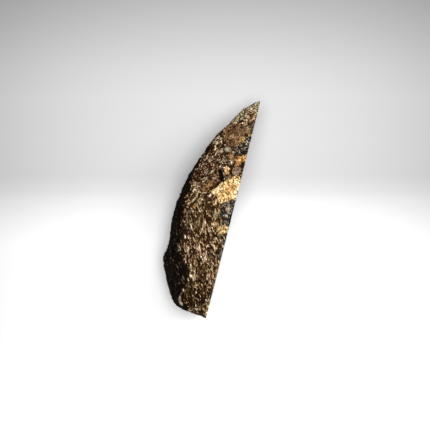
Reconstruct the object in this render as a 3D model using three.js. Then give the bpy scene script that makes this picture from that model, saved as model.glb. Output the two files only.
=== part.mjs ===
// Half of an agate nodule, sawn through and polished flat on the sawn side. The rest is rough natural rind.
// Millimetres, +Z up. The stone lies on one long flank, so its polished face stands upright and looks along
// +X. Y runs along its length, from the blunt end to the pointed tip, and Z through its depth, from flank to
// flank.

import * as THREE from 'three';
import { ConvexHull } from 'three/addons/math/ConvexHull.js';
import { ImprovedNoise } from 'three/addons/math/ImprovedNoise.js';
import { mergeVertices } from 'three/addons/utils/BufferGeometryUtils.js';

// Driving dimensions
const LENGTH = 123;
const THICKNESS = 32;
const DEPTH = 58;

// Cells of the rind's grid, each a little over 2 mm
const CELLS_THROUGH = 13;
const CELLS_ALONG = 56;
const CELLS_UP = 27;

// How tightly the edges between the broad facets are rounded, per millimetre, and how far that moves the
// surface
const EDGE_SHARPNESS = 1.1;
const EDGE_LOSS = 0.9;

// The blunt corners of the nodule as shares of its size: through from the polished face to the back, along
// from the blunt end to the tip, and up from the flank that it lies on to the upper one
const RIM_CORNERS = [
  [0, 1, 0.46], [0, 1, 0.6], [0, 0.91, 0.8], [0, 0.76, 0.93], [0, 0.56, 1], [0, 0.34, 1], [0, 0.14, 0.96],
  [0, 0.03, 0.84], [0, 0, 0.7], [0, 0, 0.42], [0, 0.035, 0.2], [0, 0.12, 0.05], [0, 0.24, 0.01],
  [0, 0.62, 0.01], [0, 0.8, 0.11], [0, 0.93, 0.29],
];
const RIDGE_CORNERS = [
  [0.13, 0.985, 0.58], [0.32, 0.935, 0.66], [0.485, 0.848, 0.78], [0.735, 0.707, 0.86], [0.86, 0.622, 0.9],
  [0.88, 0.47, 0.95], [0.78, 0.32, 0.965], [0.69, 0.228, 0.955], [0.54, 0.148, 0.93], [0.52, 0.07, 0.86],
  [0.45, 0.018, 0.76], [0.28, 0, 0.67],
];
const BACK_CORNERS = [
  [0.29, 0.937, 0.42], [0.6, 0.783, 0.46], [0.87, 0.622, 0.5], [0.98, 0.544, 0.52], [1, 0.468, 0.55],
  [1, 0.37, 0.5], [0.965, 0.29, 0.55], [0.955, 0.209, 0.47], [0.925, 0.16, 0.5], [0.79, 0.085, 0.45],
  [0.69, 0.05, 0.42], [0.44, 0.022, 0.36],
];
const FOOT_CORNERS = [
  [0.3, 0.82, 0.14], [0.62, 0.62, 0.04], [0.78, 0.47, 0.01], [0.8, 0.27, 0.01], [0.6, 0.13, 0.06],
];

// Single lumps, with a height above the surface, and chips and pits, with one below it
const PLACES = [
  // the pale crust, and the four chips along the upper rim where dark agate shows
  { at: [0.15, 0.575, 0.98], radius: 8, height: 0.9 },
  { at: [0, 0.787, 0.92], radius: 5, height: -1.6 },
  { at: [0, 0.478, 1], radius: 4.5, height: -1.4 },
  { at: [0, 0.3, 0.99], radius: 4, height: -1.1 },
  { at: [0, 0.885, 0.82], radius: 3.6, height: -1 },
  // a pair of pebbles in the rind, and the deep pit at the head of the crevice
  { at: [0.36, 0.762, 0.9], radius: 2.6, height: 1.2 },
  { at: [0.25, 0.768, 0.9], radius: 2.6, height: 1.1 },
  { at: [0.34, 0.655, 0.95], radius: 3, height: -2.2 },
  // the blunt lower corner, and knuckles along the ridge above it
  { at: [0.48, 0.045, 0.8], radius: 4, height: 1.4 },
  { at: [0.44, 0.15, 0.95], radius: 4, height: 1.1 },
  { at: [0.62, 0.21, 0.96], radius: 4.5, height: 1.2 },
  { at: [0.8, 0.37, 0.95], radius: 5, height: 0.9 },
  // the sharp knuckle on the back, and broad dents and swells over it
  { at: [1, 0.209, 0.5], radius: 4, height: 1.3 },
  { at: [0.95, 0.31, 0.3], radius: 12, height: -1.5 },
  { at: [0.96, 0.5, 0.75], radius: 12, height: -1.4 },
  { at: [0.98, 0.42, 0.36], radius: 9, height: 1.4 },
  { at: [0.8, 0.66, 0.3], radius: 10, height: -1.8 },
  { at: [0.7, 0.74, 0.6], radius: 8, height: 1 },
  { at: [0.8, 0.1, 0.25], radius: 9, height: -1.7 },
  { at: [0.2, 0, 0.6], radius: 9, height: -1.3 },
  // four knuckles of the lower flank, worn to small flats where the stone rests on them
  { at: [0.12, 0.27, 0], radius: 6, height: 1.4 },
  { at: [0.1, 0.6, 0], radius: 6, height: 1.2 },
  { at: [0.72, 0.3, 0], radius: 6, height: 2.2 },
  { at: [0.62, 0.52, 0], radius: 6, height: 2 },
];

// The crevice that crosses the upper flank, from the deep pit down to the ridge, and the step beside it
const CREVICE = [[0.33, 0.66, 0.95], [0.44, 0.58, 0.96], [0.72, 0.468, 0.95], [0.84, 0.4, 0.93]];
const CREVICE_HALF_WIDTH = 1.7;
const CREVICE_DEPTH = 1.6;
const STEP_WIDTH = 7;
const STEP_HEIGHT = 0.8;

// Rind relief at three sizes: wavelength and height. The finest is folded into sharp crests, which stand
// this far above the surface.
const SWELLS = { size: 21, height: 1.5 };
const LUMPS = { size: 8.5, height: 1 };
const GRIT = { size: 4.2, height: 1.5 };
const GRIT_CREST = 0.3;

// Small round pits all over the rind, on a spiral of this radius as a share of the stone's width and depth
const PIT_COUNT = 70;
const PIT_RADIUS = [1.8, 3.4];
const PIT_DEPTH = 1.1;
const PIT_SPIRAL = 0.55;
const GOLDEN_SHARE = 0.618;

// The line in the sawn plane that the rind's points look out from: its height, and where it begins and ends
const LOOKOUT_UP = 0.48;
const LOOKOUT_ALONG = [0.26, 0.74];
const REACH_STEPS = 40;

const noise = new ImprovedNoise();
const NOISE_START = new THREE.Vector3(7.3, 3.1, 5.7);

// A place given in shares of the stone's size, in millimetres
function place([through, along, up]) {
  return new THREE.Vector3(-through * THICKNESS, (along - 0.5) * LENGTH, up * DEPTH);
}

// The nodule's broad facets, as the planes of the convex hull of its corners
function facets() {
  const corners = [...RIM_CORNERS, ...RIDGE_CORNERS, ...BACK_CORNERS, ...FOOT_CORNERS].map(place);
  const hull = new ConvexHull().setFromPoints(corners);
  const planes = hull.faces.map((face) => new THREE.Plane(face.normal.clone(), -face.constant));
  const sawnPlane = 0.999;
  return planes.filter((plane) => plane.normal.x < sawnPlane);
}

// Distance outside the facets' rounded meeting: negative in the stone
function outside(point, planes) {
  let sum = 0;
  for (const plane of planes) {
    sum += Math.exp(EDGE_SHARPNESS * plane.distanceToPoint(point));
  }
  return Math.log(sum) / EDGE_SHARPNESS - EDGE_LOSS;
}

// Where on the lookout line a point of the rind looks out from
function lookout(point) {
  const along = THREE.MathUtils.clamp(point.y / LENGTH + 0.5, ...LOOKOUT_ALONG);
  return place([0, along, LOOKOUT_UP]);
}

// How far out along a ray the rounded facets are met
function reach(from, direction, planes) {
  let low = 0;
  let high = LENGTH;
  const point = new THREE.Vector3();
  for (let i = 0; i < REACH_STEPS; i++) {
    const middle = (low + high) / 2;
    point.copy(from).addScaledVector(direction, middle);
    if (outside(point, planes) < 0) {
      low = middle;
    } else {
      high = middle;
    }
  }
  return low;
}

// Smooth noise of the given wavelength and height
function waves(point, { size, height }) {
  const at = point.clone().divideScalar(size).add(NOISE_START);
  return height * noise.noise(at.x, at.y, at.z);
}

// A bell of the given radius round a centre: 1 in the middle and near 0 past the radius
function bell(distance, radius) {
  return Math.exp(-2 * (distance / radius) ** 2);
}

// Small pits spread over the rind by a golden-angle spiral round the stone's length
function pits() {
  const found = [];
  const goldenAngle = Math.PI * (3 - Math.sqrt(5));
  for (let i = 0; i < PIT_COUNT; i++) {
    const share = (i + 0.5) / PIT_COUNT;
    const angle = i * goldenAngle;
    const through = 0.5 + PIT_SPIRAL * Math.cos(angle);
    const up = 0.5 + PIT_SPIRAL * Math.sin(angle);
    const at = place([through, share, up]);
    const spread = (i * GOLDEN_SHARE) % 1;
    found.push({ at, radius: THREE.MathUtils.lerp(...PIT_RADIUS, spread), height: -PIT_DEPTH });
  }
  return found;
}

// The crevice's groove, and the step that leaves the rind on its tip side lower
function crevice(point, line) {
  let nearest = Infinity;
  let side = 0;
  const closest = new THREE.Vector3();
  for (let i = 1; i < line.length; i++) {
    new THREE.Line3(line[i - 1], line[i]).closestPointToPoint(point, true, closest);
    const distance = closest.distanceTo(point);
    if (distance < nearest) {
      nearest = distance;
      side = Math.sign(point.y - closest.y);
    }
  }
  const groove = -CREVICE_DEPTH * bell(nearest, 2 * CREVICE_HALF_WIDTH);
  const step = -side * 0.5 * STEP_HEIGHT * bell(nearest, STEP_WIDTH);
  return groove + step;
}

// All of the rind's relief at a point of the rounded facets
function relief(point, spots, line) {
  let height = waves(point, SWELLS) + waves(point, LUMPS);
  height += GRIT_CREST - Math.abs(waves(point, GRIT));
  for (const spot of spots) {
    height += spot.height * bell(point.distanceTo(spot.at), spot.radius);
  }
  return height + crevice(point, line);
}

// The rind: five sides of a box grid, drawn in along rays onto the rounded facets and given their relief
function rind() {
  const box = new THREE.BoxGeometry(THICKNESS, LENGTH, DEPTH, CELLS_THROUGH, CELLS_ALONG, CELLS_UP);
  box.translate(-THICKNESS / 2, 0, DEPTH / 2);
  const sawnSide = box.groups[0];
  box.setIndex(Array.from(box.index.array).slice(sawnSide.count));
  box.clearGroups();
  box.deleteAttribute('normal');
  box.deleteAttribute('uv');
  const shell = mergeVertices(box, 1e-3);

  const planes = facets();
  const spots = [...PLACES.map((spot) => ({ ...spot, at: place(spot.at) })), ...pits()];
  const line = CREVICE.map(place);
  const positions = shell.attributes.position;
  const point = new THREE.Vector3();
  for (let i = 0; i < positions.count; i++) {
    point.fromBufferAttribute(positions, i);
    const from = lookout(point);
    const direction = point.clone().sub(from).normalize();
    const distance = reach(from, direction, planes);
    point.copy(from).addScaledVector(direction, distance);
    point.addScaledVector(direction, relief(point, spots, line));
    point.z = Math.max(point.z, 0);
    positions.setXYZ(i, point.x, point.y, point.z);
  }
  return shell;
}

// The points round the shell's open side, in the order that faces the polished cap outward
function rim(shell) {
  const index = shell.index.array;
  const edges = new Map();
  for (let i = 0; i < index.length; i += 3) {
    for (const [a, b] of [[0, 1], [1, 2], [2, 0]]) {
      edges.set(`${index[i + a]} ${index[i + b]}`, [index[i + a], index[i + b]]);
    }
  }
  const next = new Map();
  for (const [a, b] of edges.values()) {
    if (!edges.has(`${b} ${a}`)) {
      next.set(b, a);
    }
  }
  const loop = [next.keys().next().value];
  while (loop.length < next.size) {
    loop.push(next.get(loop.at(-1)));
  }
  return loop;
}

// The whole stone: the rind closed by its flat polished face
function stone() {
  const shell = rind();
  const loop = rim(shell);
  const positions = shell.attributes.position;
  const outline = loop.map((i) => new THREE.Vector2(positions.getY(i), positions.getZ(i)));
  const index = Array.from(shell.index.array);
  for (const [a, b, c] of THREE.ShapeUtils.triangulateShape(outline, [])) {
    const ab = outline[b].clone().sub(outline[a]);
    const ac = outline[c].clone().sub(outline[a]);
    const facesOut = ab.cross(ac) > 0;
    index.push(loop[a], ...(facesOut ? [loop[b], loop[c]] : [loop[c], loop[b]]));
  }
  shell.setIndex(index);
  shell.computeVertexNormals();
  shell.computeBoundingBox();
  return shell;
}

const geometry = stone();
const material = new THREE.MeshStandardMaterial({ color: 0x5a4a38, roughness: 0.85, metalness: 0 });
const agate = new THREE.Mesh(geometry, material);
agate.name = 'agate';

// The origin is the middle of the stone's underside
const middle = geometry.boundingBox.getCenter(new THREE.Vector3());
agate.position.set(-middle.x, -middle.y, -geometry.boundingBox.min.z);

const model = new THREE.Group();
model.add(agate);

export default model;
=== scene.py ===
# The looks of half an agate nodule: rough speckled rind with a pale crust and dark glassy chips, and a banded
# face that was sawn and polished. Lengths are in millimetres until a mesh is made from them.
import math

import bpy
import numpy as np
from mathutils import Matrix, Vector, geometry, noise


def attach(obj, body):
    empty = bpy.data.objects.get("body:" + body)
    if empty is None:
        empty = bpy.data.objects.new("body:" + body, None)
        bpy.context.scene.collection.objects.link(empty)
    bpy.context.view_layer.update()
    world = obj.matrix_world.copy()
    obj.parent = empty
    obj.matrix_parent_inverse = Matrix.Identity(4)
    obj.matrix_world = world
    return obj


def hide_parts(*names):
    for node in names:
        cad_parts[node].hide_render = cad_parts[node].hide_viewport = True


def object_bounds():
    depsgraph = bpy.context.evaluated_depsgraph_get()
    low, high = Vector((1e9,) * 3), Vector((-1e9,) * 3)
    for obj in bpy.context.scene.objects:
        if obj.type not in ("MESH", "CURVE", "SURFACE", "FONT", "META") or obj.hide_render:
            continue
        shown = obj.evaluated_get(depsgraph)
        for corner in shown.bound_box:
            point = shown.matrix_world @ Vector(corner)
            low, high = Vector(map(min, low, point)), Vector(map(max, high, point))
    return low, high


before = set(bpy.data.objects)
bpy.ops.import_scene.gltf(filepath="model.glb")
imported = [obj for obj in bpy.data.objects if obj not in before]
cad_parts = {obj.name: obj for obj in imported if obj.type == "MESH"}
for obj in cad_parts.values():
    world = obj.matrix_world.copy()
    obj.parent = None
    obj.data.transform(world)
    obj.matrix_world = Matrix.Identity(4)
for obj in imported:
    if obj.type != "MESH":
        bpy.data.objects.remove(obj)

MM = 0.001
CAD_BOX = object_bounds()
NODE = "agate"

# The photograph's view, from straight above: how far the stone leans in it, its scale at one level above the
# floor, the pixel that the tip is at, and the camera's lens and sensor
LEAN = math.radians(14.1)
RIGHT = Vector((math.cos(LEAN), math.sin(LEAN), 0))
UP = Vector((-math.sin(LEAN), math.cos(LEAN), 0))
MM_PER_PIXEL = 0.551
SCALE_LEVEL = 30
FRAME_PIXELS = 430
CENTRE = FRAME_PIXELS / 2
TIP_PIXEL = (260.5, 100.4)
LENS = 122
SENSOR = 36
CAMERA_AWAY = MM_PER_PIXEL * FRAME_PIXELS * LENS / SENSOR


def picture_middle():
    """The place that the middle of the picture looks down on."""
    tip = Vector((CAD_BOX[1].x, CAD_BOX[1].y, 0)) / MM
    return tip - MM_PER_PIXEL * ((TIP_PIXEL[0] - CENTRE) * RIGHT + (CENTRE - TIP_PIXEL[1]) * UP)


def pixels_of(points):
    """Where the picture shows each point: pixels from its left and from its top."""
    away = points - np.array(picture_middle())
    scale = CAMERA_AWAY / (SCALE_LEVEL + CAMERA_AWAY - points[:, 2]) / MM_PER_PIXEL
    return np.column_stack([CENTRE + away @ np.array(RIGHT) * scale, CENTRE - away @ np.array(UP) * scale])


# Points and triangles

# Points that are the same to this many decimals are merged, and one this near the sawn side is on it
MERGED_DECIMALS = 4
ON_SIDE = 0.001
TINY = 1e-12


def cad_shell():
    """The CAD stone's points and triangles without its flat sawn side, and where that side is along X."""
    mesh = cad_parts[NODE].data
    points = np.array([v.co for v in mesh.vertices]) / MM
    triangles = np.array([list(p.vertices) for p in mesh.polygons])
    points, merged = np.unique(np.round(points, MERGED_DECIMALS), axis=0, return_inverse=True)
    triangles = merged.ravel()[triangles]
    sawn_x = points[:, 0].max()
    on_sawn = points[:, 0] > sawn_x - ON_SIDE
    triangles = triangles[~on_sawn[triangles].all(axis=1)]
    first = triangles.argmin(axis=1)[:, None]
    triangles = np.take_along_axis(triangles, (first + np.arange(3)) % 3, axis=1)
    triangles = triangles[np.lexsort(triangles.T[::-1])]
    used = np.unique(triangles)
    return points[used], np.searchsorted(used, triangles), sawn_x


def edges_of(triangles):
    """Every edge once, how many triangles use each, and each triangle's three edges."""
    pairs = np.sort(triangles[:, [0, 1, 1, 2, 2, 0]].reshape(-1, 2), axis=1)
    edges, which, uses = np.unique(pairs, axis=0, return_inverse=True, return_counts=True)
    return edges, uses, which.reshape(-1, 3)


# How a triangle is cut when some of its sides ab, bc and ca are halved: 0 to 2 are its corners, and 3 to 5
# its sides' middles
CUTS = {
    (0, 0, 0): [(0, 1, 2)],
    (1, 0, 0): [(0, 3, 2), (3, 1, 2)],
    (0, 1, 0): [(0, 1, 4), (0, 4, 2)],
    (0, 0, 1): [(0, 1, 5), (5, 1, 2)],
    (1, 1, 0): [(3, 1, 4), (0, 3, 4), (0, 4, 2)],
    (0, 1, 1): [(4, 2, 5), (0, 1, 4), (0, 4, 5)],
    (1, 0, 1): [(0, 3, 5), (3, 1, 2), (3, 2, 5)],
    (1, 1, 1): [(0, 3, 5), (3, 1, 4), (5, 4, 2), (3, 4, 5)],
}


def split(points, triangles, longest):
    """Cuts every edge that is longer than longest says for its middle, and the triangles beside it."""
    edges, _, sides = edges_of(triangles)
    ends = points[edges]
    middles = ends.mean(axis=1)
    marked = np.linalg.norm(ends[:, 0] - ends[:, 1], axis=1) > longest(middles)
    place = np.cumsum(marked) - 1 + len(points)
    six = np.column_stack([triangles, place[sides]])
    flags = marked[sides].astype(int)
    made = []
    for pattern, parts in CUTS.items():
        rows = six[(flags == pattern).all(axis=1)]
        made += [rows[:, part] for part in parts]
    return np.vstack([points, middles[marked]]), np.vstack(made)


def mean_of_neighbours(values, edges):
    """The average of each point's neighbours along the given edges. A point on none of them gets 0."""
    total = np.zeros_like(values)
    count = np.zeros(len(values))
    for here, there in (edges.T, edges.T[::-1]):
        np.add.at(total, here, values[there])
        np.add.at(count, here, 1)
    count = np.maximum(count, 1)
    return total / (count[:, None] if values.ndim > 1 else count)


# How far smoothing draws a point towards its neighbours, how much less at the tip, and where the tip begins
SMOOTHING_PACE = 0.5
TIP_KEPT = 0.46
TIP_ALONG = (50, 58)


def smoothed(points, edges, rim_edges, rounds):
    """The points drawn towards their neighbours again and again. The rim stays in its plane."""
    on_rim = np.unique(rim_edges)
    pace = SMOOTHING_PACE - TIP_KEPT * step(*TIP_ALONG, points[:, 1])[:, None]
    for _ in range(rounds):
        goal = mean_of_neighbours(points, edges)
        goal[on_rim] = mean_of_neighbours(points, rim_edges)[on_rim]
        points = points + pace * (goal - points)
    return points


def normals_of(points, triangles):
    """Each point's direction out of the surface, from the triangles round it."""
    a, b, c = (points[triangles[:, i]] for i in range(3))
    faces = np.cross(b - a, c - a)
    total = np.zeros_like(points)
    for i in range(3):
        np.add.at(total, triangles[:, i], faces)
    return total / np.maximum(np.linalg.norm(total, axis=1), TINY)[:, None]


# Noise and soft steps


def step(low, high, value):
    """0 below low, 1 above high, and smooth between."""
    t = np.clip((value - low) / (high - low), 0, 1)
    return t * t * (3 - 2 * t)


def waves(points, size, start):
    """Smooth noise from about -1 to 1 with the given wavelength. start picks another stretch of it."""
    return np.array([noise.noise(Vector(p)) for p in points / size + start])


# Moves the cells' random numbers off the grid that their centres lie near
LUCK_SPREAD = 7.13


def cells(points, start):
    """Distances to the nearest cell centre and the next, and each cell's random number from 0 to 1."""
    found = [noise.voronoi(Vector(p)) for p in points + start]
    near = np.array([f[0][0] for f in found])
    second = np.array([f[0][1] for f in found])
    luck = np.array([noise.cell(f[1][0] * LUCK_SPREAD) for f in found])
    return near, second, luck


def turned(points, degrees, along, across):
    """Points measured along and across a direction in the XY plane, each in its own unit of length."""
    c, s = math.cos(math.radians(degrees)), math.sin(math.radians(degrees))
    x, y, z = points.T
    return np.column_stack([(c * x + s * y) / along, (c * y - s * x) / across, z / across])


# Outlines and lines that places lie in and near


def to_segment(at, a, b):
    """Distance to the line from a to b."""
    t = np.clip(((at - a) @ (b - a)) / max((b - a) @ (b - a), TINY), 0, 1)
    return np.linalg.norm(at - a - t[:, None] * (b - a), axis=1)


def to_line(at, corners):
    """Distance to the nearest part of a line with corners."""
    corners = np.array(corners, float)
    return np.min([to_segment(at, a, b) for a, b in zip(corners[:-1], corners[1:])], axis=0)


def depth_inside(at, corners):
    """How far each place lies inside an outline, and less than 0 outside it."""
    corners = np.array(corners, float)
    ring = np.vstack([corners, corners[:1]])
    inside = np.zeros(len(at), bool)
    for a, b in zip(ring[:-1], ring[1:]):
        crosses = (a[1] > at[:, 1]) != (b[1] > at[:, 1])
        with np.errstate(divide="ignore", invalid="ignore"):
            reach = a[0] + (at[:, 1] - a[1]) * (b[0] - a[0]) / (b[1] - a[1])
        inside ^= crosses & (at[:, 0] < reach)
    distance = to_line(at, ring)
    return np.where(inside, distance, -distance)


# Marks on the upper flank, each with its outlines in pixels of the picture
MARKS = {
    "crust": [
        [(218.5, 183), (225.7, 180.6), (229.8, 178), (235.3, 175.6), (240, 175.4), (241.5, 180), (237, 200),
         (229.8, 199.3), (226, 201.5), (221, 203.6), (218.4, 201.4), (217.4, 197), (213.6, 194), (210, 191),
         (211.5, 187)],
        [(226.5, 166), (229.6, 168), (229.8, 172), (228, 174.8), (224.8, 173.5), (224.2, 170)],
        [(238.5, 158.5), (243.6, 154.8), (250, 153.5), (248.5, 161.5), (239.8, 162.5)],
        [(249, 134), (253, 134), (252, 138), (249, 137)],
        [(216.2, 228.4), (219.5, 226.8), (222.6, 227), (225.3, 229.8), (224.8, 232.8), (222, 233.8),
         (218.6, 233.4), (216.4, 231.4)],
        [(211, 221.6), (212.8, 221), (213.8, 222.6), (213.2, 224.2), (211.8, 224.2)],
        [(212, 203.8), (215.5, 202), (216.6, 204.4), (214.5, 206)],
        [(225.8, 227), (230, 226.6), (229.5, 232.6), (226, 232.6)],
    ],
    "peach": [
        [(224.6, 186.4), (231, 184.4), (239, 182.4), (239.6, 188), (236.4, 192), (231.4, 197.6),
         (226.4, 200), (221.4, 197.6), (221.6, 192.4), (225, 190.4)],
        [(238.5, 158.5), (249, 157), (248.5, 162), (239.5, 163)],
        [(210.5, 221.5), (215, 221.5), (215, 225.5), (211, 225.5)],
        [(227.6, 169.4), (230.6, 168.6), (230.4, 174.4), (227.4, 174)],
    ],
    "white": [
        [(209.5, 187), (214.5, 183), (221, 183), (222, 189), (218, 195), (212, 195)],
        [(235.5, 183), (240, 179), (241, 186), (238, 200.5), (230, 200.5), (231.6, 194), (235.5, 191)],
        [(224.8, 165.4), (229.4, 166), (228.8, 169), (224.8, 169.2)],
    ],
    "chip": [
        [(246.5, 136.5), (252.5, 136.5), (251.5, 146.5), (249.8, 153), (243.8, 155), (236.5, 154),
         (233.4, 150.6), (239, 145), (241.6, 142.4), (244.4, 139.4)],
        [(221.6, 204.6), (226, 202.8), (229.5, 200.6), (237, 200.2), (233.5, 219), (229, 226.5),
         (224.4, 221), (221, 216), (221.4, 209)],
        [(219.8, 250), (226, 248), (223.5, 262), (217.8, 261), (217.2, 255)],
        [(222.6, 239.6), (226, 238.6), (226.5, 244.6), (223, 244.8)],
    ],
    "rust": [
        [(224.5, 129.5), (230, 124.5), (238, 124), (246, 124.5), (248.8, 131), (246, 136.5), (240, 141),
         (236, 146), (229.5, 147), (226, 141)],
    ],
    "shale": [
        [(248.2, 121.6), (251.5, 120.6), (257, 121), (255.4, 134.8), (251, 135), (248.6, 130)],
        [(223.8, 175.8), (231.4, 175.4), (231, 177.6), (225, 178.4)],
    ],
    "amber": [
        [(206.2, 181.6), (209.4, 179.6), (214.8, 180.2), (214.8, 183.4), (211, 187), (208, 190),
         (204.4, 194.6), (202, 193.6), (203.6, 188), (206, 185)],
        [(227.6, 153.5), (232.5, 152.6), (235, 157.5), (232.6, 160.8), (228.2, 158.5)],
        [(214.4, 222.2), (218.6, 222.8), (219.6, 226.6), (217.6, 228), (214.8, 226.6)],
    ],
    "specks": [[(184.4, 206), (189.6, 206), (191, 222), (190.6, 236), (187.6, 238), (185.2, 224)]],
    "shell": [
        [(180.9, 293.4), (178.9, 294.8), (177.8, 298.2), (178.3, 301.6), (180.2, 304.6), (183, 305.8),
         (182.6, 303.2), (181.2, 300.8), (180.4, 297.4)],
    ],
    "tile": [
        [(194.6, 219), (199.2, 217.6), (201.4, 219.4), (200.2, 226), (198.8, 229.8), (195, 228.4),
         (193.6, 223)],
    ],
    "pebble": [
        [(224.8, 149), (227.2, 146.8), (230.2, 147), (231, 149.8), (229.4, 152), (226.2, 152.2)],
        [(219.6, 150.2), (221.4, 148.4), (223.4, 148.6), (223.6, 151.6), (221.6, 153.8), (220, 152.8)],
        [(230.4, 120.2), (233, 118.6), (234.4, 121), (232, 123)],
        [(235.2, 117.8), (238, 118), (238.8, 120.8), (236.2, 121.8)],
        [(240.8, 117.4), (243, 116.4), (243.6, 119), (241.4, 120)],
        [(214.8, 141.2), (217.4, 140.6), (217.6, 144), (215.2, 146.4)],
        [(221.6, 172.2), (224, 172.4), (224, 175.4), (222.2, 175)],
        [(226, 207.6), (228.4, 206.8), (230, 210), (229.4, 213.6), (227, 214), (225.6, 211)],
    ],
    "mauve": [
        [(232.2, 170.6), (234.6, 167.4), (239.6, 166.8), (241.8, 169.6), (240, 173.4), (235, 175),
         (232.4, 173.8)],
    ],
    "orange": [[(233.8, 160.6), (236.4, 156.6), (240, 157), (241.4, 161), (241.2, 166), (234.8, 166.6)]],
    "gold": [
        [(238.8, 139.5), (242, 135.4), (244.4, 130.8), (248.8, 128.8), (248.8, 134), (245.4, 138.6),
         (243.2, 143.2), (239.8, 144)],
        [(195.6, 201.2), (197.4, 203), (196, 206.2), (193.4, 208.8), (192.8, 205.6)],
    ],
    "olive": [
        [(231, 153), (234, 152.8), (234, 160), (231.6, 160)],
        [(222.8, 157), (227.6, 156.6), (227.6, 162.4), (223.2, 162)],
        [(218, 232.4), (222.8, 232.8), (223.2, 237), (219, 237)],
        [(214.5, 223.2), (222.8, 222.8), (223, 226.4), (218.5, 226.8)],
        [(212.8, 212), (219.6, 211.6), (219.4, 218.4), (213, 218)],
    ],
    "fringe": [
        [(218.5, 262), (223, 262), (217, 290), (212, 290), (214.5, 275)],
        [(208, 300), (212, 296), (213.5, 305), (208, 318), (203.5, 316)],
        [(231.5, 180), (234, 176), (240, 176), (240, 181)],
    ],
    "light": [
        [(193, 190), (197, 184), (203, 186), (200, 197), (202, 206), (203, 216), (205, 228), (200, 237),
         (194, 234), (192.6, 218), (193.6, 206)],
        [(194, 247), (204, 245), (216, 247), (215, 255), (203, 254), (196, 256)],
        [(186.4, 262), (190, 261), (193, 272), (191.6, 283), (187, 282)],
        [(242.6, 130), (249.6, 129), (249, 136), (243, 135)],
        [(206, 298), (209, 297), (207, 304), (203, 305)],
        [(215, 234), (222, 236.6), (223, 242), (216, 241)],
    ],
    "dusky": [
        [(201.6, 256), (209.6, 253.4), (212, 261), (204, 265)],
        [(194.4, 264), (199, 262), (202, 272), (201, 280), (196, 281)],
        [(202.6, 233), (210, 231), (217, 234), (214, 240), (204, 239)],
        [(194, 240), (200, 239), (200.6, 245), (195, 246)],
        [(221, 157), (226, 155), (232, 158), (231, 164), (222, 166)],
        [(190.8, 224), (194.4, 223), (194, 236), (192.8, 250), (193, 262), (189.8, 262), (190.6, 244)],
        [(182, 287), (206, 286), (205, 295), (196, 297), (200, 306), (196, 313), (184, 307), (181, 298)],
        [(190, 166), (198, 163), (205, 174), (210, 178), (204, 184), (196, 182)],
        [(209, 144), (218, 142), (217, 150), (207, 152)],
    ],
    "lilac": [
        [(213, 204), (221.8, 204.5), (221, 209.5), (214, 209.5)],
        [(183, 223), (191.6, 223), (190, 240), (186, 262), (180, 262)],
        [(196, 158), (208, 150), (220, 150), (222, 166), (218, 178), (204, 178), (194, 190), (190, 180)],
        [(222.2, 143.6), (227, 143.4), (227, 146.6), (222.2, 146.6)],
    ],
    "green": [
        [(185.5, 187), (191, 186.5), (191, 195.5), (185.5, 196)],
        [(228, 121), (238.5, 116), (241, 122.5), (231, 125)],
        [(187.6, 217), (191.6, 217.4), (191.4, 225.4), (188, 225)],
        [(234, 115), (243, 107), (246, 109), (243, 118), (238, 121)],
        [(250, 104), (258, 99), (261, 98), (259, 105), (252, 109)],
        [(218.4, 251), (225, 250), (223, 261), (217.6, 261)],
    ],
    "warm": [
        [(246, 112), (252, 112), (258, 108), (258, 121), (250, 122), (246, 118)],
        [(238.5, 157), (243.5, 153.5), (250, 153), (248.5, 163), (239, 163.5)],
        [(236, 148), (242, 146), (243, 154), (236, 154)],
        [(227.6, 169.4), (231, 168.6), (231, 175), (227.4, 174.4)],
    ],
}

# The size of the crust's beads, and the deep pit beside the crust
BEAD_SIZE = 1.9
PIT_DEPTH = 2.6
PIT = [(218.2, 169.8), (220.4, 169.4), (221.6, 172.4), (223, 175.2), (222, 180.6), (219.4, 180.2),
       (220, 175.6), (219.4, 172.8)]

# Grooves and pale splinters: half the width, a groove's depth, and a line of places in the picture
GROOVES = [
    (1.1, 1.5, [(221.2, 179), (218.8, 182), (215, 185.2), (211, 188.4)]),
    (0.8, 0.9, [(199, 195.4), (195.5, 200.8), (191, 205.4)]),
    (0.55, 0.8, [(235, 161.4), (233.3, 165.5), (231.5, 169), (230, 173.6)]),
    (0.5, 0.7, [(220.6, 155.2), (224, 154.2), (226.6, 154.2), (231.4, 153.2)]),
    (0.7, 0.7, [(199.5, 213), (195.6, 220.4)]),
    (0.7, 0.7, [(201.8, 219.4), (200.4, 226), (198.6, 230)]),
]
SPLINTERS = [
    (0.5, [(199.2, 191.2), (196.9, 195.8), (194.8, 199), (191.8, 202), (188.8, 203.4)]),
    (0.8, [(196.4, 196.6), (192.6, 200.8)]),
    (0.3, [(198.6, 192.4), (202.4, 192.9), (206.4, 192)]),
    (0.35, [(194.8, 209.6), (195.4, 213.4), (195.8, 217.4)]),
    (0.5, [(203.4, 223.5), (202.4, 229), (200.6, 233)]),
    (0.4, [(222.4, 235), (224, 237.6), (225.2, 240)]),
    # The short marks on the chips and on the ridge's specks are painted glints
    (0.6, [(187, 206.4), (187.6, 207.2)]),
    (0.7, [(226.4, 215.8), (226.8, 216.2)]),
    (0.5, [(247, 140.6), (247, 141.2)]),
    (0.5, [(246.6, 143.2), (247, 143.6)]),
    (0.5, [(241.8, 147.6), (242.2, 147.8)]),
    (0.45, [(239.4, 152), (239.6, 152.4)]),
    (0.4, [(244.2, 147.4), (247.4, 145.8)]),
]

# Where painted shade begins on the rind towards the back: how far in from the sawn side, and along the stone
PAINTED_SHADE_LINE = [(9, -61.5), (12, -57), (15.5, -52.5), (16.6, -48), (14.6, -45), (15.2, -39.5), (15.8, -36.5),
             (20, -33.5), (22.2, -30), (23.4, -22), (24.8, -14), (26.8, -8), (27.4, 0), (25.6, 10),
             (25, 19), (23, 29), (22, 36), (21, 45), (15, 56)]

# The way that strands run on the upper flank, in degrees from +X, near the tip and the blunt end
UPPER_LEAN = 60
LOWER_LEAN = -63

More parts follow.
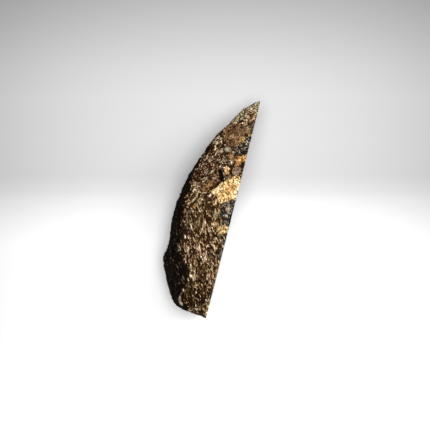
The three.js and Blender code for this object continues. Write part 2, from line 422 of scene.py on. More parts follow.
# Length and width of a strand near the tip, near the blunt end, and round the sides and below
UPPER_STRAND = (3.4, 1.4)
LOWER_STRAND = (4.6, 1.4)
OTHER_STRAND = (1.9, 1.9)

# How sharp a crest is, the finer strands' share, and a crest's length and a lump's width beside a strand's
CREST_SHARPNESS = 2.6
FINER_SHARE = 0.45
STRAND_LENGTH = 0.8
LUMP_WIDTH = 1.4
LUMP_GAP = (0, 0.35)

# How far the strands sway near the blunt end, how much further near the tip, and over what length
SWAY = 0.45
MORE_SWAY = 0.4
SWAY_SIZE = 2.3

# Where along the stone the lean changes, the paler tip begins (painted light) and the blunt end's painted
# shade begins, and how far the first two wander
LEAN_CHANGES = (-9, 5)
TIP_BEGINS = (34, 52)
LOW_END_SHADE_BEGINS = (-44, -52)
LEAN_WANDER = 4
LEAN_WANDER_SIZE = 9
TIP_RAGGED = 6

# From and to which part of its normal a point faces up, along Z, and faces the back, along X
FACES_UP = (-0.05, 0.35)
FACES_BACK = (-0.5, -0.9)
BACK_RAGGED = 0.5

# The height from which the back's painted shade is in sight, its border's fade and raggedness, and the
# gloom before it, a fainter painted shade
IN_SIGHT = (24, 34)
DARK_BORDER = (-1.4, 1)
DARK_RAGGED = 1.8
GLOOM_BORDER = (-5.5, 0)
# Painted shade on the other sides that face the back, and how much less of it near the tip
TURNED_AWAY_PAINTED_SHADE = 0.45
TIP_LESS_PAINTED_SHADE = 0.3

# Share, size and start of the waves that make borders ragged, over how many pixels a mark's border fades and
# how ragged it is, and over how many half widths a line fades and how ragged a groove is
RAGGED_WAVES = ((0.55, 3.1, 11), (0.35, 1.4, 23))
BORDER_FADE = 2
BORDER_RAGGED = 1.2
LINE_FADE = 3
GROOVE_RAGGED = 0.7

# How steep the pit's walls are, in pixels
PIT_WALL = 1.2

# What the rind's grains are made of, how high they and the swells are, and the level that they lie round
STRAND_SHARE = 0.42
LUMP_SHARE = 0.4
CRUMB_SHARE = 0.25
CRUMB_SIZE = 1.1
GRAIN_HEIGHT = 1.15
MEAN_GRAIN = 0.5
SWELL_HEIGHT = 0.4
SWELL_SIZE = 6
RIND_LEVEL = 0.2
RUST_CALM = 0.3

# The crust's beads and its level, a chip's flakes with their direction, length and width, its crumbs and how
# deep it lies, and the painted stones
BEAD_TOP = 1.2
BEAD_RADIUS = 0.62
BEAD_SHARES = (0.55, 0.45)
BEAD_HEIGHT = 0.85
MEAN_BEAD = 0.35
CRUST_LEVEL = 0.15
FLAKE = (30, 4, 2.6)
FLAKE_HEIGHT = 0.55
MEAN_FLAKE = 0.5
CHIP_CRUMBS = 0.1
CHIP_DEPTH = 0.5
STONE_HEIGHTS = {"pebble": 0.9, "mauve": 0.6, "tile": 0.2, "orange": 0.3}
STONE_CRUMBS = 0.2
STONE_SHARE = 0.8

# How much of a chip the glassy specks on the ridge are
SPECK_SHARE = 0.46


def within(outlines, at, ragged, fade=BORDER_FADE):
    """How much each place lies within any of the outlines, from 0 to 1."""
    depth = np.max([depth_inside(at, corners) for corners in outlines], axis=0)
    return step(-fade, fade, depth + BORDER_RAGGED * ragged)


def drawn(line, half, at, ragged):
    """How near each place is to a thin line, from 0 to 1."""
    return step(LINE_FADE, 0, to_line(at, line) / half + ragged)


def strands(points, ways):
    """Winding crests with finer ones on them. A way is a share, a direction, and a length and width."""
    strand = np.zeros(len(points))
    for share, degrees, length, width in ways:
        at = turned(points, degrees, STRAND_LENGTH * length, width)
        strand += share * (1 - CREST_SHARPNESS * np.abs(waves(at, 1, start=13)))
        strand += FINER_SHARE * share * (1 - CREST_SHARPNESS * np.abs(waves(at, 1 / 2, start=9)))
    return strand


def lumps(points, ways):
    """Lumps with narrow gaps between them, each of its own height, drawn out along the same ways."""
    lump = np.zeros(len(points))
    for share, degrees, length, width in ways:
        near, second, luck = cells(turned(points, degrees, length, LUMP_WIDTH * width), degrees)
        lump += share * step(*LUMP_GAP, second - near) * luck
    return lump


def round_beads(points):
    """The crust's beads, each of its own height."""
    near, _, luck = cells(points / BEAD_SIZE, 51)
    same, by_luck = BEAD_SHARES
    return np.clip(BEAD_TOP - (near / BEAD_RADIUS) ** 2, 0, 1) * (same + by_luck * luck)


def add_cuts(shares, at, upper, ragged):
    """Adds the pit, the grooves and the splinters to the shares, and gives how deep they are cut."""
    pit = upper * within([PIT], at, ragged, PIT_WALL)
    grooves = [drawn(line, half, at, GROOVE_RAGGED * ragged) for half, _, line in GROOVES]
    depths = [share * depth for share, (_, depth, _) in zip(grooves, GROOVES)]
    splinter = upper * np.max([drawn(line, half, at, ragged) for half, line in SPLINTERS], axis=0)
    shares["hollow"] = pit
    shares["groove"] = upper * np.max(grooves, axis=0)
    shares["splinter"] = np.maximum(splinter, shares.pop("shell"))
    return upper * np.max(depths, axis=0) + PIT_DEPTH * pit


def add_shade(shares, points, normals, inward, ragged):
    """Adds painted shade to the shares: the dark back, and the gloom before it and at the blunt end. Also the
    paler tip, which is painted light.
    """
    along = points[:, 1]
    inward_there, along_there = np.array(PAINTED_SHADE_LINE).T
    beyond = inward - np.interp(along, along_there, inward_there)
    # Painted shade: the back where it is in sight, past the shade line
    seen = step(*IN_SIGHT, points[:, 2]) * step(*DARK_BORDER, beyond + DARK_RAGGED * ragged)
    # The gloom is fainter painted shade, before the back and at the blunt end
    near_dark = step(*GLOOM_BORDER, beyond) * (1 - shares["lean"])
    # The paler tip is painted light
    shares["tip"] = step(*TIP_BEGINS, along + TIP_RAGGED * ragged)
    shares["gloom"] = np.maximum(near_dark, step(*LOW_END_SHADE_BEGINS, along)) * shares["upper"]
    # Fainter painted shade on the other sides that face the back
    turned_away = step(*FACES_BACK, normals[:, 0] + BACK_RAGGED * ragged)
    turned_away_shade = turned_away * (TURNED_AWAY_PAINTED_SHADE - TIP_LESS_PAINTED_SHADE * shares["upper"] * shares["tip"])
    shares["back"] = np.maximum(seen, turned_away_shade)


def add_paint(shares):
    """Puts the painted kinds' shares and the tints together into one share and two colours at each point."""
    painted = np.array([shares.pop(kind) for kind in PAINTS])
    shares["painted"] = painted.max(axis=0)
    shares["paint"] = np.array(list(PAINTS.values()))[painted.argmax(axis=0)]
    tint = np.ones_like(shares["paint"])
    for kind, colour in TINTS.items():
        tint *= 1 - shares.pop(kind)[:, None] * (1 - np.array(colour))
    shares["tint"] = tint


def rind_fields(points, normals, sawn_x):
    """The rind's relief, and for its colours how high each point stands and what it is made of."""
    inward = sawn_x - points[:, 0]
    at = pixels_of(points)
    upper = step(*FACES_UP, normals[:, 2])
    ragged = sum(share * waves(points, size, start) for share, size, start in RAGGED_WAVES)
    shares = {kind: upper * within(outlines, at, ragged) for kind, outlines in MARKS.items()}
    shares["chip"] = np.maximum(shares["chip"], SPECK_SHARE * shares.pop("specks"))

    lean = step(*LEAN_CHANGES, points[:, 1] + LEAN_WANDER * waves(points, LEAN_WANDER_SIZE, start=5))
    sway = (SWAY + MORE_SWAY * lean)[:, None]
    bent = points + sway * np.column_stack([waves(points, SWAY_SIZE, start) for start in (31, 37, 41)])
    ways = [(upper * lean, UPPER_LEAN, *UPPER_STRAND), (upper * (1 - lean), LOWER_LEAN, *LOWER_STRAND),
            (1 - upper, 0, *OTHER_STRAND)]
    crumb = waves(points, CRUMB_SIZE, start=71)
    swells = waves(points, SWELL_SIZE, start=17)
    grains = STRAND_SHARE * strands(bent, ways) + LUMP_SHARE * lumps(bent, ways) + CRUMB_SHARE * crumb
    beads = round_beads(bent)
    _, _, flakes = cells(turned(points, *FLAKE), 63)

    relief = GRAIN_HEIGHT * (grains - MEAN_GRAIN) + SWELL_HEIGHT * swells + RIND_LEVEL
    relief *= 1 - RUST_CALM * shares["rust"]
    relief += shares["crust"] * (BEAD_HEIGHT * (beads - MEAN_BEAD) + CRUST_LEVEL - relief)
    flaked = FLAKE_HEIGHT * (flakes - MEAN_FLAKE) + CHIP_CRUMBS * crumb - CHIP_DEPTH
    relief += shares["chip"] * (flaked - relief)
    for kind, height in STONE_HEIGHTS.items():
        relief += STONE_SHARE * shares[kind] * (height + STONE_CRUMBS * crumb - relief)
    relief -= add_cuts(shares, at, upper, ragged)

    shares["smooth"] = np.maximum(shares["pebble"], shares["mauve"])
    # In the tone, crest lightens grain tops and darkens hollows: partly own colour, partly painted shade
    shares.update(crest=grains, bead=beads, lean=lean, upper=upper)
    add_shade(shares, points, normals, inward, ragged)
    add_paint(shares)
    return relief, shares


# The stone: the rind with its relief, and the polished face stretched across its open side

# Longest sides of the triangles, each round's on the part above this height and the one below it
UPPER_PART = 34
UPPER_SIDES = (1.6, 0.8, 0.6)
LOWER_SIDE = 0.85
SMOOTHING = 4

# How far the rind stays behind the sawn plane, how far its rim is rolled back, and small nicks in it
RIND_BEHIND = 0.02
ROLLED_EDGE = 0.12
NICKS_FROM = (0.25, 0.6)
NICK_SIZE = 2.4
NICK_DEPTH = 0.6

# Sides of the face's triangles, how near the rim its points come as a share of that, and its smoothing
FACE_STEP = 1.1
FACE_MARGIN = 0.55
FACE_SMOOTHING = 60
SAME_POINT = 1e-7


def rim_loop(triangles):
    """The points round the shell's open side, in the order that turns about +X."""
    edges, uses, _ = edges_of(triangles)
    open_edges = {tuple(e) for e in edges[uses == 1]}
    following = {}
    for i in range(3):
        for a, b in triangles[:, [i, (i + 1) % 3]]:
            if (min(a, b), max(a, b)) in open_edges:
                following[b] = a
    loop = [min(following)]
    while len(loop) < len(following):
        loop.append(following[loop[-1]])
    return np.array(loop)


def face_mesh(outline):
    """Points inside the outline, how far in each is, and triangles that count the outline's points first."""
    low, high = outline.min(axis=0), outline.max(axis=0)
    rows = np.arange(low[1], high[1], FACE_STEP * math.sqrt(3) / 2)
    inner = []
    for i, z in enumerate(rows):
        y = np.arange(low[0] + (i % 2) * FACE_STEP / 2, high[0], FACE_STEP)
        inner.append(np.column_stack([y, np.full(len(y), z)]))
    inner = np.vstack(inner)
    distance = depth_inside(inner, outline)
    kept = distance > FACE_MARGIN * FACE_STEP
    inner, distance = inner[kept], distance[kept]
    everything = np.vstack([outline, inner])
    count = len(outline)
    sides = [(i, (i + 1) % count) for i in range(count)]
    made = geometry.delaunay_2d_cdt([Vector(p) for p in everything], sides, [], 1, SAME_POINT)
    original = [o[0] for o in made[3]]
    triangles = np.array([[original[v] for v in f] for f in made[2]])
    a, b, c = (everything[triangles[:, i]] for i in range(3))
    ab, ac = b - a, c - a
    backward = ab[:, 0] * ac[:, 1] - ab[:, 1] * ac[:, 0] < 0
    triangles[backward] = triangles[backward][:, ::-1]
    return inner, distance, triangles


def shaped_rind():
    """The rind with its relief: points, triangles, fields, the rim's loop, and where the sawn side is."""
    points, triangles, sawn_x = cad_shell()
    for finest in UPPER_SIDES:
        longest = lambda at: np.where(at[:, 2] > UPPER_PART, finest, LOWER_SIDE)
        points, triangles = split(points, triangles, longest)
        edges, uses, _ = edges_of(triangles)
        points = smoothed(points, edges, edges[uses == 1], SMOOTHING)
    normals = normals_of(points, triangles)
    relief, fields = rind_fields(points, normals, sawn_x)
    loop = rim_loop(triangles)
    points = points + relief[:, None] * normals
    points[:, 0] = np.minimum(points[:, 0], sawn_x - RIND_BEHIND)
    points[loop, 0] = sawn_x
    points[:, 2] = np.maximum(points[:, 2], 0)
    return points, triangles, fields, loop, sawn_x


def closed(points, loop, sawn_x):
    """The points with the polished face's, that face's triangles, and how far in from the rim a point is."""
    count = len(points)
    inner, distance, face = face_mesh(points[loop][:, 1:])
    face = np.concatenate([loop, np.arange(len(inner)) + count])[face]
    nicks = step(*NICKS_FROM, waves(points[loop], NICK_SIZE, start=91))
    points[loop, 0] = sawn_x - ROLLED_EDGE - NICK_DEPTH * nicks
    points = np.vstack([points, np.column_stack([np.full(len(inner), sawn_x), inner])])
    inward = np.concatenate([np.zeros(count), distance])
    edges = edges_of(face)[0]
    on_face = np.arange(len(points)) >= count
    for _ in range(FACE_SMOOTHING):
        goal = mean_of_neighbours(inward, edges)
        inward = np.where(on_face, (inward + goal) / 2, inward)
    return points, face, inward


def linked(name, data):
    """A new object with the data, in the scene."""
    made = bpy.data.objects.new(name, data)
    bpy.context.scene.collection.objects.link(made)
    return made


def make_stone():
    rind_points, triangles, fields, loop, sawn_x = shaped_rind()
    points, face, inward = closed(rind_points, loop, sawn_x)
    added = len(points) - len(rind_points)
    fields = {name: np.concatenate([f, np.zeros((added, *f.shape[1:]))]) for name, f in fields.items()}
    fields["inward"] = inward

    mesh = bpy.data.meshes.new("agate_stone")
    everything = np.vstack([triangles, face])
    mesh.from_pydata((points * MM).tolist(), [], everything.tolist())
    for name, values in fields.items():
        kind, part = ("FLOAT", "value") if values.ndim == 1 else ("FLOAT_VECTOR", "vector")
        layer = mesh.attributes.new(name, kind, "POINT")
        layer.data.foreach_set(part, values.astype(np.float32).ravel())
    on_face = np.arange(len(everything)) >= len(triangles)
    mesh.polygons.foreach_set("material_index", on_face.astype(np.int32))
    mesh.shade_smooth()
    rim = {tuple(sorted(pair)) for pair in zip(loop.tolist(), np.roll(loop, -1).tolist())}
    sharp = mesh.attributes.new("sharp_edge", "BOOLEAN", "EDGE")
    sharp.data.foreach_set("value", [tuple(sorted(e.vertices)) in rim for e in mesh.edges])
    mesh.update()
    return linked("agate_stone", mesh)


# Materials


class Shader:
    """A material's node tree, with short calls to add to it."""

    def __init__(self, name):
        self.material = bpy.data.materials.new(name)
        self.material.use_nodes = True
        self.tree = self.material.node_tree
        self.tree.nodes.clear()
        output = self.tree.nodes.new("ShaderNodeOutputMaterial")
        self.surface = self.tree.nodes.new("ShaderNodeBsdfPrincipled")
        self.tree.links.new(self.surface.outputs[0], output.inputs[0])

    def fill(self, node, inputs):
        """Sets a node's inputs to numbers or colours, or links other nodes' sockets to them."""
        for name, value in inputs.items():
            socket = node.inputs[name]
            if isinstance(value, bpy.types.NodeSocket):
                self.tree.links.new(value, socket)
            elif isinstance(value, tuple) and len(socket.default_value) == 4:
                socket.default_value = (*value, 1)
            else:
                socket.default_value = value

    def add(self, kind, inputs=(), output=0, **settings):
        node = self.tree.nodes.new("ShaderNode" + kind)
        for name, value in settings.items():
            setattr(node, name, value)
        self.fill(node, dict(inputs))
        return node.outputs[output]

    def field(self, name, output=2):
        """A value of the mesh at each point. Output 0 is for a colour, and 2 for a number."""
        return self.add("Attribute", attribute_name=name, output=output)

    def place(self):
        """The point's place on the stone, in millimetres."""
        at = self.add("TexCoord", output=3)
        return self.add("VectorMath", {0: at, 3: 1 / MM}, operation="SCALE")

    def math(self, operation, a, b=0, c=0):
        return self.add("Math", {0: a, 1: b, 2: c}, operation=operation)

    def times(self, a, b):
        return self.math("MULTIPLY", a, b)

    def centred(self, value):
        """Noise that lies round 0 instead of round a half."""
        return self.math("SUBTRACT", value, 0.5)

    def changed(self, value, change):
        """The value times the change's factor, and its offset added."""
        factor, offset = change
        return self.math("MULTIPLY_ADD", value, factor, offset)

    def mixed(self, parts, recipe):
        """The parts that a recipe names, or the mesh's fields, each times its weight and added up."""
        total = None
        for name, weight in recipe.items():
            part = parts[name] if name in parts else self.field(name)
            term = self.times(part, weight)
            total = term if total is None else self.math("ADD", total, term)
        return total

    def between(self, share, a, b):
        """Number a, turning into b as share goes from 0 to 1."""
        return self.add("Mix", {0: share, 2: a, 3: b})

    def blend(self, share, a, b, how="MIX"):
        """Colour a, turning into b as share goes from 0 to 1."""
        return self.add("Mix", {0: share, 6: a, 7: b}, output=2, data_type="RGBA", blend_type=how)

    def ramp(self, value, *stops):
        """A colour ramp of (place, colour) stops, with a grey given as one number."""
        node = self.tree.nodes.new("ShaderNodeValToRGB")
        self.fill(node, {0: value})
        while len(node.color_ramp.elements) < len(stops):
            node.color_ramp.elements.new(0.5)
        for element, (at, colour) in zip(node.color_ramp.elements, stops):
            element.position = at
            element.color = (*colour, 1) if isinstance(colour, tuple) else (colour, colour, colour, 1)
        return node.outputs[0]

    def noise(self, at, size, detail=2, roughness=0.5, output=0):
        inputs = {"Vector": at, "Scale": 1 / size, "Detail": detail, "Roughness": roughness}
        return self.add("TexNoise", inputs, output=output)

    def cells(self, at, size, feature="F1", output="Distance"):
        return self.add("TexVoronoi", {"Vector": at, "Scale": 1 / size}, output=output, feature=feature)

    def stretched(self, at, degrees, along):
        """Places turned in the XY plane and shortened along one way, which draws a pattern out."""
        turn = (0, 0, math.radians(degrees))
        return self.add("Mapping", {0: at, 2: turn, 3: (along, 1, 1)}, vector_type="TEXTURE")

    def streaks(self, at, size, recipe):
        """Soft blotches with thin winding lines among them."""
        away = self.centred(self.noise(at, LINE_SPACING * size, detail=1, roughness=0.4))
        line = self.ramp(self.math("ABSOLUTE", away), (0, 1), (LINE_WIDTH, 0))
        parts = {
            "blotch": self.centred(self.noise(at, size, roughness=0.6)),
            "line": self.math("SUBTRACT", line, MEAN_LINE),
        }
        return self.mixed(parts, recipe)


BLACK_BROWN = (0.009, 0.0035, 0.0008)
DEEP_BROWN = (0.052, 0.0245, 0.007)
BROWN = (0.145, 0.085, 0.04)
TAN = (0.27, 0.195, 0.125)
BEIGE = (0.47, 0.392, 0.315)
CHALK = (0.82, 0.77, 0.69)
OCHRE = (0.21, 0.12, 0.042)
OLIVE = (0.11, 0.085, 0.032)
CREAM = (0.6, 0.435, 0.19)
BUTTER = (0.48, 0.33, 0.14)
YELLOW = (0.54, 0.385, 0.18)
IVORY = (0.69, 0.535, 0.335)
CHALKY = (0.77, 0.65, 0.52)
PEACH = (0.6, 0.315, 0.126)
SALMON = (0.7, 0.43, 0.195)
GAP = (0.115, 0.068, 0.018)
# A chip's dark glass, the grey of its painted sheen, and its painted glints
SLATE = (0.006, 0.005, 0.0035)
SLATE_GREY = (0.125, 0.092, 0.072)
PAINTED_GLINT = (0.4, 0.38, 0.39)
SPLINTER = (0.37, 0.305, 0.185)
# Painted shade in the grooves and in the deep pit
GROOVE_SHADE = (0.018, 0.008, 0.003)
BLACK = (0.003, 0.0015, 0.0005)

# Middle colours of the marks with a finer, calmer grain than the rind, and tints of the rind
PAINTS = {
    "rust": (0.098, 0.051, 0.024),
    "shale": (0.03, 0.02, 0.012),
    "amber": (0.13, 0.07, 0.027),
    "tile": (0.075, 0.05, 0.021),
    "pebble": (0.195, 0.16, 0.115),
    "mauve": (0.14, 0.096, 0.07),
    "orange": (0.26, 0.128, 0.05),
    "gold": (0.16, 0.098, 0.029),
    "olive": (0.112, 0.088, 0.048),
}
TINTS = {"lilac": (0.94, 0.92, 1), "green": (0.9, 1, 0.8), "warm": (0.9, 0.78, 0.66)}

# Colours from low to high tone: the rind's, its fringe's, the crust's three kinds' and a chip's painted sheen
RIND_COLOURS = ((0.06, BLACK_BROWN), (0.2, DEEP_BROWN), (0.32, BROWN), (0.45, TAN), (0.62, BEIGE),
                (0.9, CHALK))
FRINGE_COLOURS = ((0.1, DEEP_BROWN), (0.3, OLIVE), (0.5, OCHRE), (0.72, CREAM), (0.95, CHALK))
CREAMY = ((0, OCHRE), (0.12, BUTTER), (0.34, YELLOW), (0.62, IVORY))
PEACHY = ((0, OCHRE), (0.12, PEACH), (0.34, SALMON), (0.62, IVORY))
WHITISH = ((0, OCHRE), (0.1, BUTTER), (0.3, IVORY), (0.56, CHALKY))
GLASSY = ((0.06, 0), (0.28, 1))

# Slight changes of hue from place to place
HUES = ((0.3, (1, 0.8, 0.58)), (0.4, (1, 0.92, 0.84)), (0.48, (0.96, 1, 0.8)),
        (0.56, (1, 0.96, 0.95)), (0.68, (0.9, 1, 1)))

# Recipes: how much of each pattern or field is in the tone, the painted marks' grain, a bead, a gap between
# beads, a chip's painted sheen, the bump and ragged borders
TONE = {"crest": 0.5, "strand": 2, "speck": 1.1, "broad": 0.5, "fringe": 0.18, "lean": -0.02, "light": 0.1,
        "dusky": -0.09}
FINE_GRAIN = {"crest": 0.5, "around": 2.2, "strand": 1.2, "speck": 1, "broad": 0.4}
BEAD = {"luck": 0.2, "bead": 0.34, "speck": 0.4, "around": 0.8}
BEAD_GAP = {"edge": 1, "speck": 0.25, "around": 0.9, "white": 0.1}
PAINTED_SHEEN = {"broad": 1.2, "around": 1.8, "strand": 1, "speck": 0.8}
BUMP = {"strand": 1.6, "speck": 0.8}
ROUGH = {"speck": 2.4, "strand": 3.2, "around": 2}

# What the tone is multiplied by and what is added to it, in each of these fields: painted shade in the gloom
# and on the back, painted light at the tip; and how much painted shade darkens the back's colour
TONE_CHANGES = {"lean": (1.14, -0.035), "tip": (1.08, 0.21), "gloom": (1.4, -0.165), "back": (1.5, -0.57)}
BACK_PAINTED_SHADE = 0.7

# The painted marks' grain, how plain it is where they are smooth, and how fully they cover the rind
GRAIN_CHANGE = (2.3, 0.68)
LEAST_GRAIN = 0.12
SMOOTH_SHARE = 0.55
SMOOTH_GRAIN = 1.1
PAINT_COVER = (0.35, 0.78)

# From and to which value a mark's soft border is made sharp, and the same for marks with their own
CRISP_BORDER = (0.4, 0.6)
OWN_BORDERS = {"hollow": (0.3, 0.5), "groove": (0.5, 0.75), "splinter": (0.5, 0.9)}

# How fully these cover what is below them, and where gaps between beads and a chip's painted glints end
COVER = {"fringe": 0.7, "hue": 0.8, "white": 0.8, "splinter": 0.75}
GAP_STOPS = ((0.05, 1), (0.21, 0))
PAINTED_GLINT_STOPS = ((0.14, 1), (0.22, 0))

# Streaks: their size in millimetres and what they are mixed from, how far some are drawn out, and the thin
# lines' spacing beside that size, width in their noise, and mean
UPPER_STREAKS = (0.9, {"blotch": 0.685, "line": 0.144})
LOWER_STREAKS = (0.8, {"blotch": 1, "line": 0})
OTHER_STREAKS = (1.1, {"blotch": 0.79, "line": 0.096})
UPPER_DRAWN_OUT = 1.5
LOWER_DRAWN_OUT = 3
LINE_SPACING = 1.5
LINE_WIDTH = 0.075
MEAN_LINE = 0.32

# In millimetres, how far the patterns wander, their sizes and the bump's height, and how beads calm the bump
WANDER = 1.6
SPECK_SIZE = 0.5
BROAD_SIZE = 5
HUE_SIZE = 2.6
PAINTED_GLINT_SIZE = 1.5
BUMP_HEIGHT = 0.4
CALMING = (-0.6, 1)


def rind_patterns(shader, at):
    """The patterns that the rind is mixed from, by name. Bent is where they lie once they wander."""
    wander = shader.noise(at, WANDER, output=1)
    wander = shader.add("VectorMath", {0: wander, 1: (0.5, 0.5, 0.5)}, operation="SUBTRACT")
    wander = shader.add("VectorMath", {0: wander, 3: WANDER}, operation="SCALE")
    bent = shader.add("VectorMath", {0: at, 1: wander}, operation="ADD")
    half_bent = shader.add("Mix", {0: 0.5, 4: at, 5: bent}, output=1, data_type="VECTOR")
    upper = shader.streaks(shader.stretched(bent, UPPER_LEAN, UPPER_DRAWN_OUT), *UPPER_STREAKS)
    lower = shader.streaks(shader.stretched(half_bent, LOWER_LEAN, LOWER_DRAWN_OUT), *LOWER_STREAKS)
    around = shader.streaks(bent, *OTHER_STREAKS)
    drawn_out = shader.blend(shader.field("lean"), lower, upper)
    parts = {
        "bent": bent,
        "around": around,
        "strand": shader.between(shader.field("upper"), around, drawn_out),
        "speck": shader.centred(shader.noise(at, SPECK_SIZE, roughness=0.7)),
        "broad": shader.centred(shader.noise(at, BROAD_SIZE)),
    }
    parts["rough"] = shader.mixed(parts, ROUGH)
    return parts


def crisp(shader, parts, name):
    """A mark's share with its soft border made sharp and ragged."""
    low, high = OWN_BORDERS.get(name, CRISP_BORDER)
    share = shader.field(name)
    return shader.ramp(shader.math("MULTIPLY_ADD", parts["rough"], share, share), (low, 0), (high, 1))


def bare_rind(shader, parts):
    """The brown and beige speckled rind, with its yellowish fringe."""
    tone = shader.mixed(parts, TONE)
    for kind, change in TONE_CHANGES.items():
        tone = shader.between(shader.field(kind), tone, shader.changed(tone, change))
    brown = shader.ramp(tone, *RIND_COLOURS)
    yellowish = shader.ramp(tone, *FRINGE_COLOURS)
    return shader.blend(shader.times(shader.field("fringe"), COVER["fringe"]), brown, yellowish)


def with_paint(shader, parts, colour):
    """The painted marks over the rind."""
    grain = shader.changed(shader.mixed(parts, FINE_GRAIN), GRAIN_CHANGE)
    grain = shader.math("MAXIMUM", grain, LEAST_GRAIN)
    smooth = shader.times(shader.field("smooth"), SMOOTH_SHARE)
    grain = shader.between(smooth, grain, SMOOTH_GRAIN)
    painted = shader.blend(1, shader.field("paint", output=0), grain, "MULTIPLY")
    cover = shader.changed(smooth, PAINT_COVER)
    return shader.blend(shader.times(crisp(shader, parts, "painted"), cover), colour, painted)


def with_crust(shader, parts, colour):
    """The pale crust: beads of cream, peach and chalk with brown gaps between them."""
    luck = shader.cells(parts["bent"], BEAD_SIZE, output="Color")
    bead = shader.mixed({**parts, "luck": luck}, BEAD)
    crusty = shader.blend(shader.field("peach"), shader.ramp(bead, *CREAMY), shader.ramp(bead, *PEACHY))
    white = shader.times(shader.field("white"), COVER["white"])
    crusty = shader.blend(white, crusty, shader.ramp(bead, *WHITISH))
    edge = shader.cells(parts["bent"], BEAD_SIZE, "DISTANCE_TO_EDGE")
    gap = shader.mixed({**parts, "edge": edge}, BEAD_GAP)
    crusty = shader.blend(shader.ramp(gap, *GAP_STOPS), crusty, GAP)
    return shader.blend(crisp(shader, parts, "crust"), colour, crusty)


def with_chips(shader, parts, chip, colour):
    """Dark glassy agate where a chip shows it, with a painted sheen and small painted glints."""
    painted_glint = shader.ramp(shader.cells(parts["bent"], PAINTED_GLINT_SIZE), *PAINTED_GLINT_STOPS)
    glassy = shader.blend(shader.ramp(shader.mixed(parts, PAINTED_SHEEN), *GLASSY), SLATE, SLATE_GREY)
    return shader.blend(chip, colour, shader.blend(painted_glint, glassy, PAINTED_GLINT))


def rind_material():
    shader = Shader("rind")
    at = shader.place()
    parts = rind_patterns(shader, at)
    painted = crisp(shader, parts, "painted")
    chip = shader.times(crisp(shader, parts, "chip"), shader.math("SUBTRACT", 1, painted))

    colour = with_paint(shader, parts, bare_rind(shader, parts))
    hue = shader.noise(at, HUE_SIZE, roughness=0.6)
    colour = shader.blend(COVER["hue"], colour, shader.ramp(hue, *HUES), "MULTIPLY")
    colour = with_crust(shader, parts, colour)
    colour = with_chips(shader, parts, chip, colour)
    colour = shader.blend(1, colour, shader.field("tint", output=0), "MULTIPLY")
    # Painted shade inside the pit and the grooves
    colour = shader.blend(crisp(shader, parts, "hollow"), colour, BLACK)
    colour = shader.blend(crisp(shader, parts, "groove"), colour, GROOVE_SHADE)
    # Painted shade: the back's colour is darkened
    dim = shader.math("SUBTRACT", 1, shader.times(shader.field("back"), BACK_PAINTED_SHADE))
    colour = shader.blend(1, colour, dim, "MULTIPLY")
    splinter = shader.times(crisp(shader, parts, "splinter"), COVER["splinter"])
    colour = shader.blend(splinter, colour, SPLINTER)

    calm = shader.math("MAXIMUM", shader.field("crust"), shader.field("smooth"))
    height = shader.times(shader.mixed(parts, BUMP), shader.changed(calm, CALMING))
    bump = shader.add("Bump", {"Strength": 1, "Distance": BUMP_HEIGHT * MM, "Height": height})
    shader.fill(shader.surface, {
        "Base Color": colour,
        "Roughness": 0.75,
        "Specular IOR Level": 0.03,
        "Coat Weight": shader.times(chip, 0.05),
        "Coat Roughness": 0.15,
        "Normal": bump,
    })
    return shader.material


# The polished face: how far in the last band lies, colours from the rim inward, the sizes of the bands' bends
# with how far they go, and the periods and darkest shades of two fine bandings
BANDED_DEPTH = 26
BAND_COLOURS = (
    (0, (0.01, 0.012, 0.009)), (0.05, (0.018, 0.022, 0.02)), (0.075, (0.26, 0.25, 0.22)),
    (0.09, (0.045, 0.052, 0.06)), (0.2, (0.1, 0.115, 0.14)), (0.26, (0.4, 0.39, 0.36)),
    (0.29, (0.12, 0.13, 0.15)), (0.4, (0.16, 0.085, 0.035)), (0.5, (0.36, 0.24, 0.12)),
    (0.56, (0.22, 0.2, 0.19)), (0.75, (0.36, 0.35, 0.33)), (1, (0.24, 0.24, 0.25)),
)
BENDS = ((11, 5), (3, 0.6))
FINE_BANDS = ((1.3, 0.7), (0.47, 0.75))
HAZE_SIZE = 14


def face_material():
    shader = Shader("polished_face")
    at = shader.place()
    depth = shader.field("inward")
    for size, reach in BENDS:
        bend = shader.centred(shader.noise(at, size, detail=1))
        depth = shader.math("ADD", depth, shader.times(bend, reach))
    colour = shader.ramp(shader.math("DIVIDE", depth, BANDED_DEPTH), *BAND_COLOURS)
    for period, dark in FINE_BANDS:
        wave = shader.math("SINE", shader.times(depth, 2 * math.pi / period))
        wave = shader.changed(wave, (0.5, 0.5))
        colour = shader.blend(0.8, colour, shader.ramp(wave, (0, dark), (0.6, 0.9), (1, 1)), "MULTIPLY")
    haze = shader.noise(at, HAZE_SIZE, detail=3)
    colour = shader.blend(0.6, colour, shader.ramp(haze, (0.35, 0.6), (0.65, 1)), "MULTIPLY")
    shader.fill(shader.surface, {"Base Color": colour, "Roughness": 0.09, "IOR": 1.54})
    return shader.material


# The floor: how long its sweep of greys is and the greys from the blunt end to past the tip, and how much it
# dims this far to the side. Both are painted light: a pool of light under the blunt end that fades to grey
FLOOR_LENGTH = 260
FLOOR_GREYS = ((0, 0.62), (0.41, 0.56), (0.46, 0.495), (0.504, 0.425), (0.527, 0.376), (0.559, 0.338),
               (0.64, 0.342), (0.73, 0.338), (0.8, 0.31), (0.98, 0.19))
FLOOR_WIDTH = 110
FLOOR_PAINTED_FALLOFF = 0.21


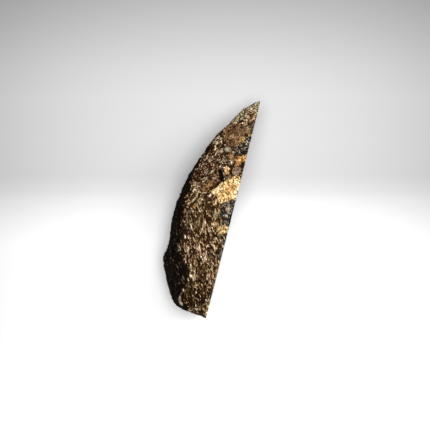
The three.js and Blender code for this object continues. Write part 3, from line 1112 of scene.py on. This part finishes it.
def floor_material():
    """A pale sweep of painted light: white under the blunt end and light grey past the tip and to the sides.
    """
    shader = Shader("floor")
    at = shader.place()
    up = shader.add("VectorMath", {0: at, 1: tuple(UP)}, operation="DOT_PRODUCT", output=1)
    sideways = shader.add("VectorMath", {0: at, 1: tuple(RIGHT)}, operation="DOT_PRODUCT", output=1)
    pale = shader.ramp(shader.changed(up, (1 / FLOOR_LENGTH, 0.5)), *FLOOR_GREYS)
    # Painted fall-off of light: the floor greys towards the sides
    aside = shader.math("SUBTRACT", sideways, picture_middle().dot(RIGHT))
    painted_falloff = shader.changed(shader.times(aside, aside), (-FLOOR_PAINTED_FALLOFF / FLOOR_WIDTH ** 2, 1))
    pale = shader.blend(1, pale, painted_falloff, "MULTIPLY")
    shader.fill(shader.surface, {"Base Color": pale, "Roughness": 0.9, "Specular IOR Level": 0.1})
    return shader.material


stone = make_stone()
stone.data.materials.append(rind_material())
stone.data.materials.append(face_material())
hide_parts(NODE)
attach(stone, "root")


# Floor, light and camera, in metres and watts

FLOOR_HALF = 4
KEY = {"place": (0.44, 0.52, 1), "target": (0, 0, 0.03), "size": 0.9, "watts": 14}
TOP = {"place": (0.02, 0, 1.3), "target": (0, 0, 0), "size": 0.6, "watts": 27}

# The light from all round: how high up, as a share, and how light
SURROUNDINGS = ((0.06, 0.5), (0.22, 0.16))


def make_floor():
    corners = [(x * FLOOR_HALF, y * FLOOR_HALF, 0) for x, y in ((-1, -1), (1, -1), (1, 1), (-1, 1))]
    mesh = bpy.data.meshes.new("floor")
    mesh.from_pydata(corners, [], [(0, 1, 2, 3)])
    mesh.materials.append(floor_material())
    floor = linked("floor", mesh)


def make_area_light(name, place, target, size, watts):
    data = bpy.data.lights.new(name, "AREA")
    data.shape = "DISK"
    data.size = size
    data.energy = watts
    light = linked(name, data)
    light.location = place
    light.rotation_euler = (Vector(target) - Vector(place)).to_track_quat("-Z", "Y").to_euler()


def make_camera():
    """The photograph's view: from straight above, with the stone leaning clockwise in the picture."""
    middle = picture_middle()
    data = bpy.data.cameras.new("camera")
    data.lens = LENS
    data.sensor_width = SENSOR
    turn = Matrix((RIGHT, UP, Vector((0, 0, 1)))).transposed()
    place = Vector((middle.x, middle.y, SCALE_LEVEL + CAMERA_AWAY)) * MM
    camera = linked("camera", data)
    camera.matrix_world = Matrix.Translation(place) @ turn.to_4x4()
    bpy.context.scene.camera = camera


def make_world():
    world = bpy.data.worlds.new("studio")
    world.use_nodes = True
    tree = world.node_tree
    direction = tree.nodes.new("ShaderNodeTexCoord")
    split_up = tree.nodes.new("ShaderNodeSeparateXYZ")
    ramp = tree.nodes.new("ShaderNodeValToRGB")
    tree.links.new(direction.outputs["Generated"], split_up.inputs[0])
    tree.links.new(split_up.outputs["Z"], ramp.inputs[0])
    tree.links.new(ramp.outputs[0], tree.nodes["Background"].inputs[0])
    for element, (height, grey) in zip(ramp.color_ramp.elements, SURROUNDINGS):
        element.position = height
        element.color = (grey, grey, grey, 1)
    bpy.context.scene.world = world


make_floor()
make_world()
make_area_light("key", **KEY)
make_area_light("top", **TOP)
make_camera()
bpy.context.scene.view_settings.view_transform = "Standard"
